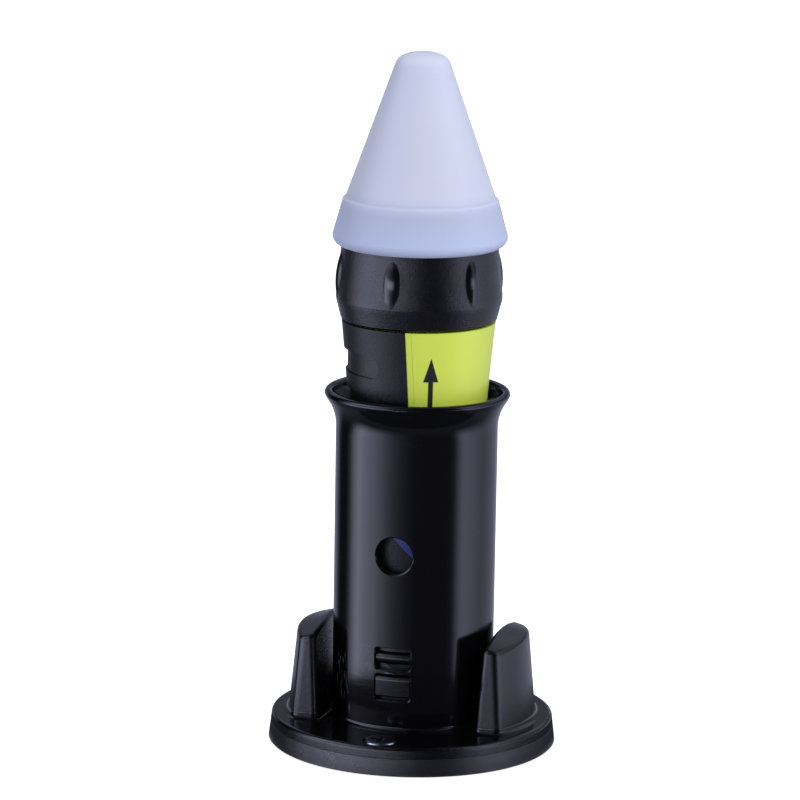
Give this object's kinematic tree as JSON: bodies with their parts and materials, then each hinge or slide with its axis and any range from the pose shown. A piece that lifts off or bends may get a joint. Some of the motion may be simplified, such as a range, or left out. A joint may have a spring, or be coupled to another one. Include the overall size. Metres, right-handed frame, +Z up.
{
  "type": "led safety flare",
  "caption": "Battery safety light with a translucent cone diffuser and a twist bezel, standing in a flared holder on a round magnetic base with side posts.",
  "frame": {"origin": "centre of the underside, on the plane that the rubber feet stand on", "axes": "+Z up along the light; -Y is the front, with the spy hole and the snap windows; the posts stand at +X and -X"},
  "size_m": [0.0966, 0.0966, 0.233],
  "materials": {
    "holder_black": "gloss",
    "cover_black": "satin",
    "zinc_steel": "satin",
    "magnet_nickel": "satin",
    "bright_screw": "polished",
    "foot_rubber": "matte",
    "barrel_yellow": "satin",
    "grip_rubber": "matte, leather grained",
    "mark_ink": "matte",
    "label_blue": "satin",
    "seal_rubber": "matte",
    "carrier_plastic": "satin",
    "cell_sleeve": "printed sleeve, satin",
    "contact_nickel": "satin",
    "contact_brass": "satin",
    "spring_steel": "polished",
    "engine_aluminium": "satin",
    "board_green": "satin",
    "chip_black": "matte",
    "board_white": "satin",
    "led_yellow": "gloss",
    "reflector_chrome": "mirror",
    "lens_clear": "polished",
    "bezel_black": "satin, fine texture",
    "cone_white": "translucent, frosted"
  },
  "bodies": {
    "stand": {"base_housing": "holder_black", "base_cover": "cover_black", "holder_tube": "holder_black", "magnet_cups": "zinc_steel", "base_magnets": "magnet_nickel", "deck_screws": "bright_screw", "cover_screws": "zinc_steel", "foot_pads": "foot_rubber"},
    "barrel": {"barrel_shell": "barrel_yellow", "grip_sleeve": "grip_rubber", "index_mark": "mark_ink", "panel_label": "label_blue", "neck_o_ring": "seal_rubber", "battery_carrier": "carrier_plastic", "battery_cells": "cell_sleeve", "cell_contacts": "contact_nickel", "carrier_terminal": "contact_brass", "tail_spring": "spring_steel"},
    "engine": {"engine_housing": "engine_aluminium", "driver_board": "board_green", "driver_parts": "chip_black", "contact_pin": "contact_brass", "led_board": "board_white", "led_emitter": "led_yellow", "reflector": "reflector_chrome", "lens": "lens_clear", "lens_gasket": "seal_rubber"},
    "bezel": {"bezel": "bezel_black"},
    "cone": {"cone_diffuser": "cone_white"}
  },
  "joints": [
    {"name": "light_lift", "type": "slide", "parent": "stand", "child": "barrel", "axis": [0, 0, 1], "range_m": [0, 0.125]},
    {"name": "bezel_travel", "type": "slide", "parent": "barrel", "child": "engine", "axis": [0, 0, 1], "range_m": [0, 0.0105]},
    {"name": "bezel_twist", "type": "hinge", "parent": "engine", "child": "bezel", "pos_m": [0, 0, 0.15], "axis": [0, 0, 1], "range_deg": [0, 1260]},
    {"name": "cone_pull", "type": "slide", "parent": "bezel", "child": "cone", "axis": [0, 0, 1], "range_m": [0, 0.03]}
  ],
  "couplings": [
    {"joint": "bezel_travel", "follows": "bezel_twist", "m_per_rad": 0.00047746}
  ]
}
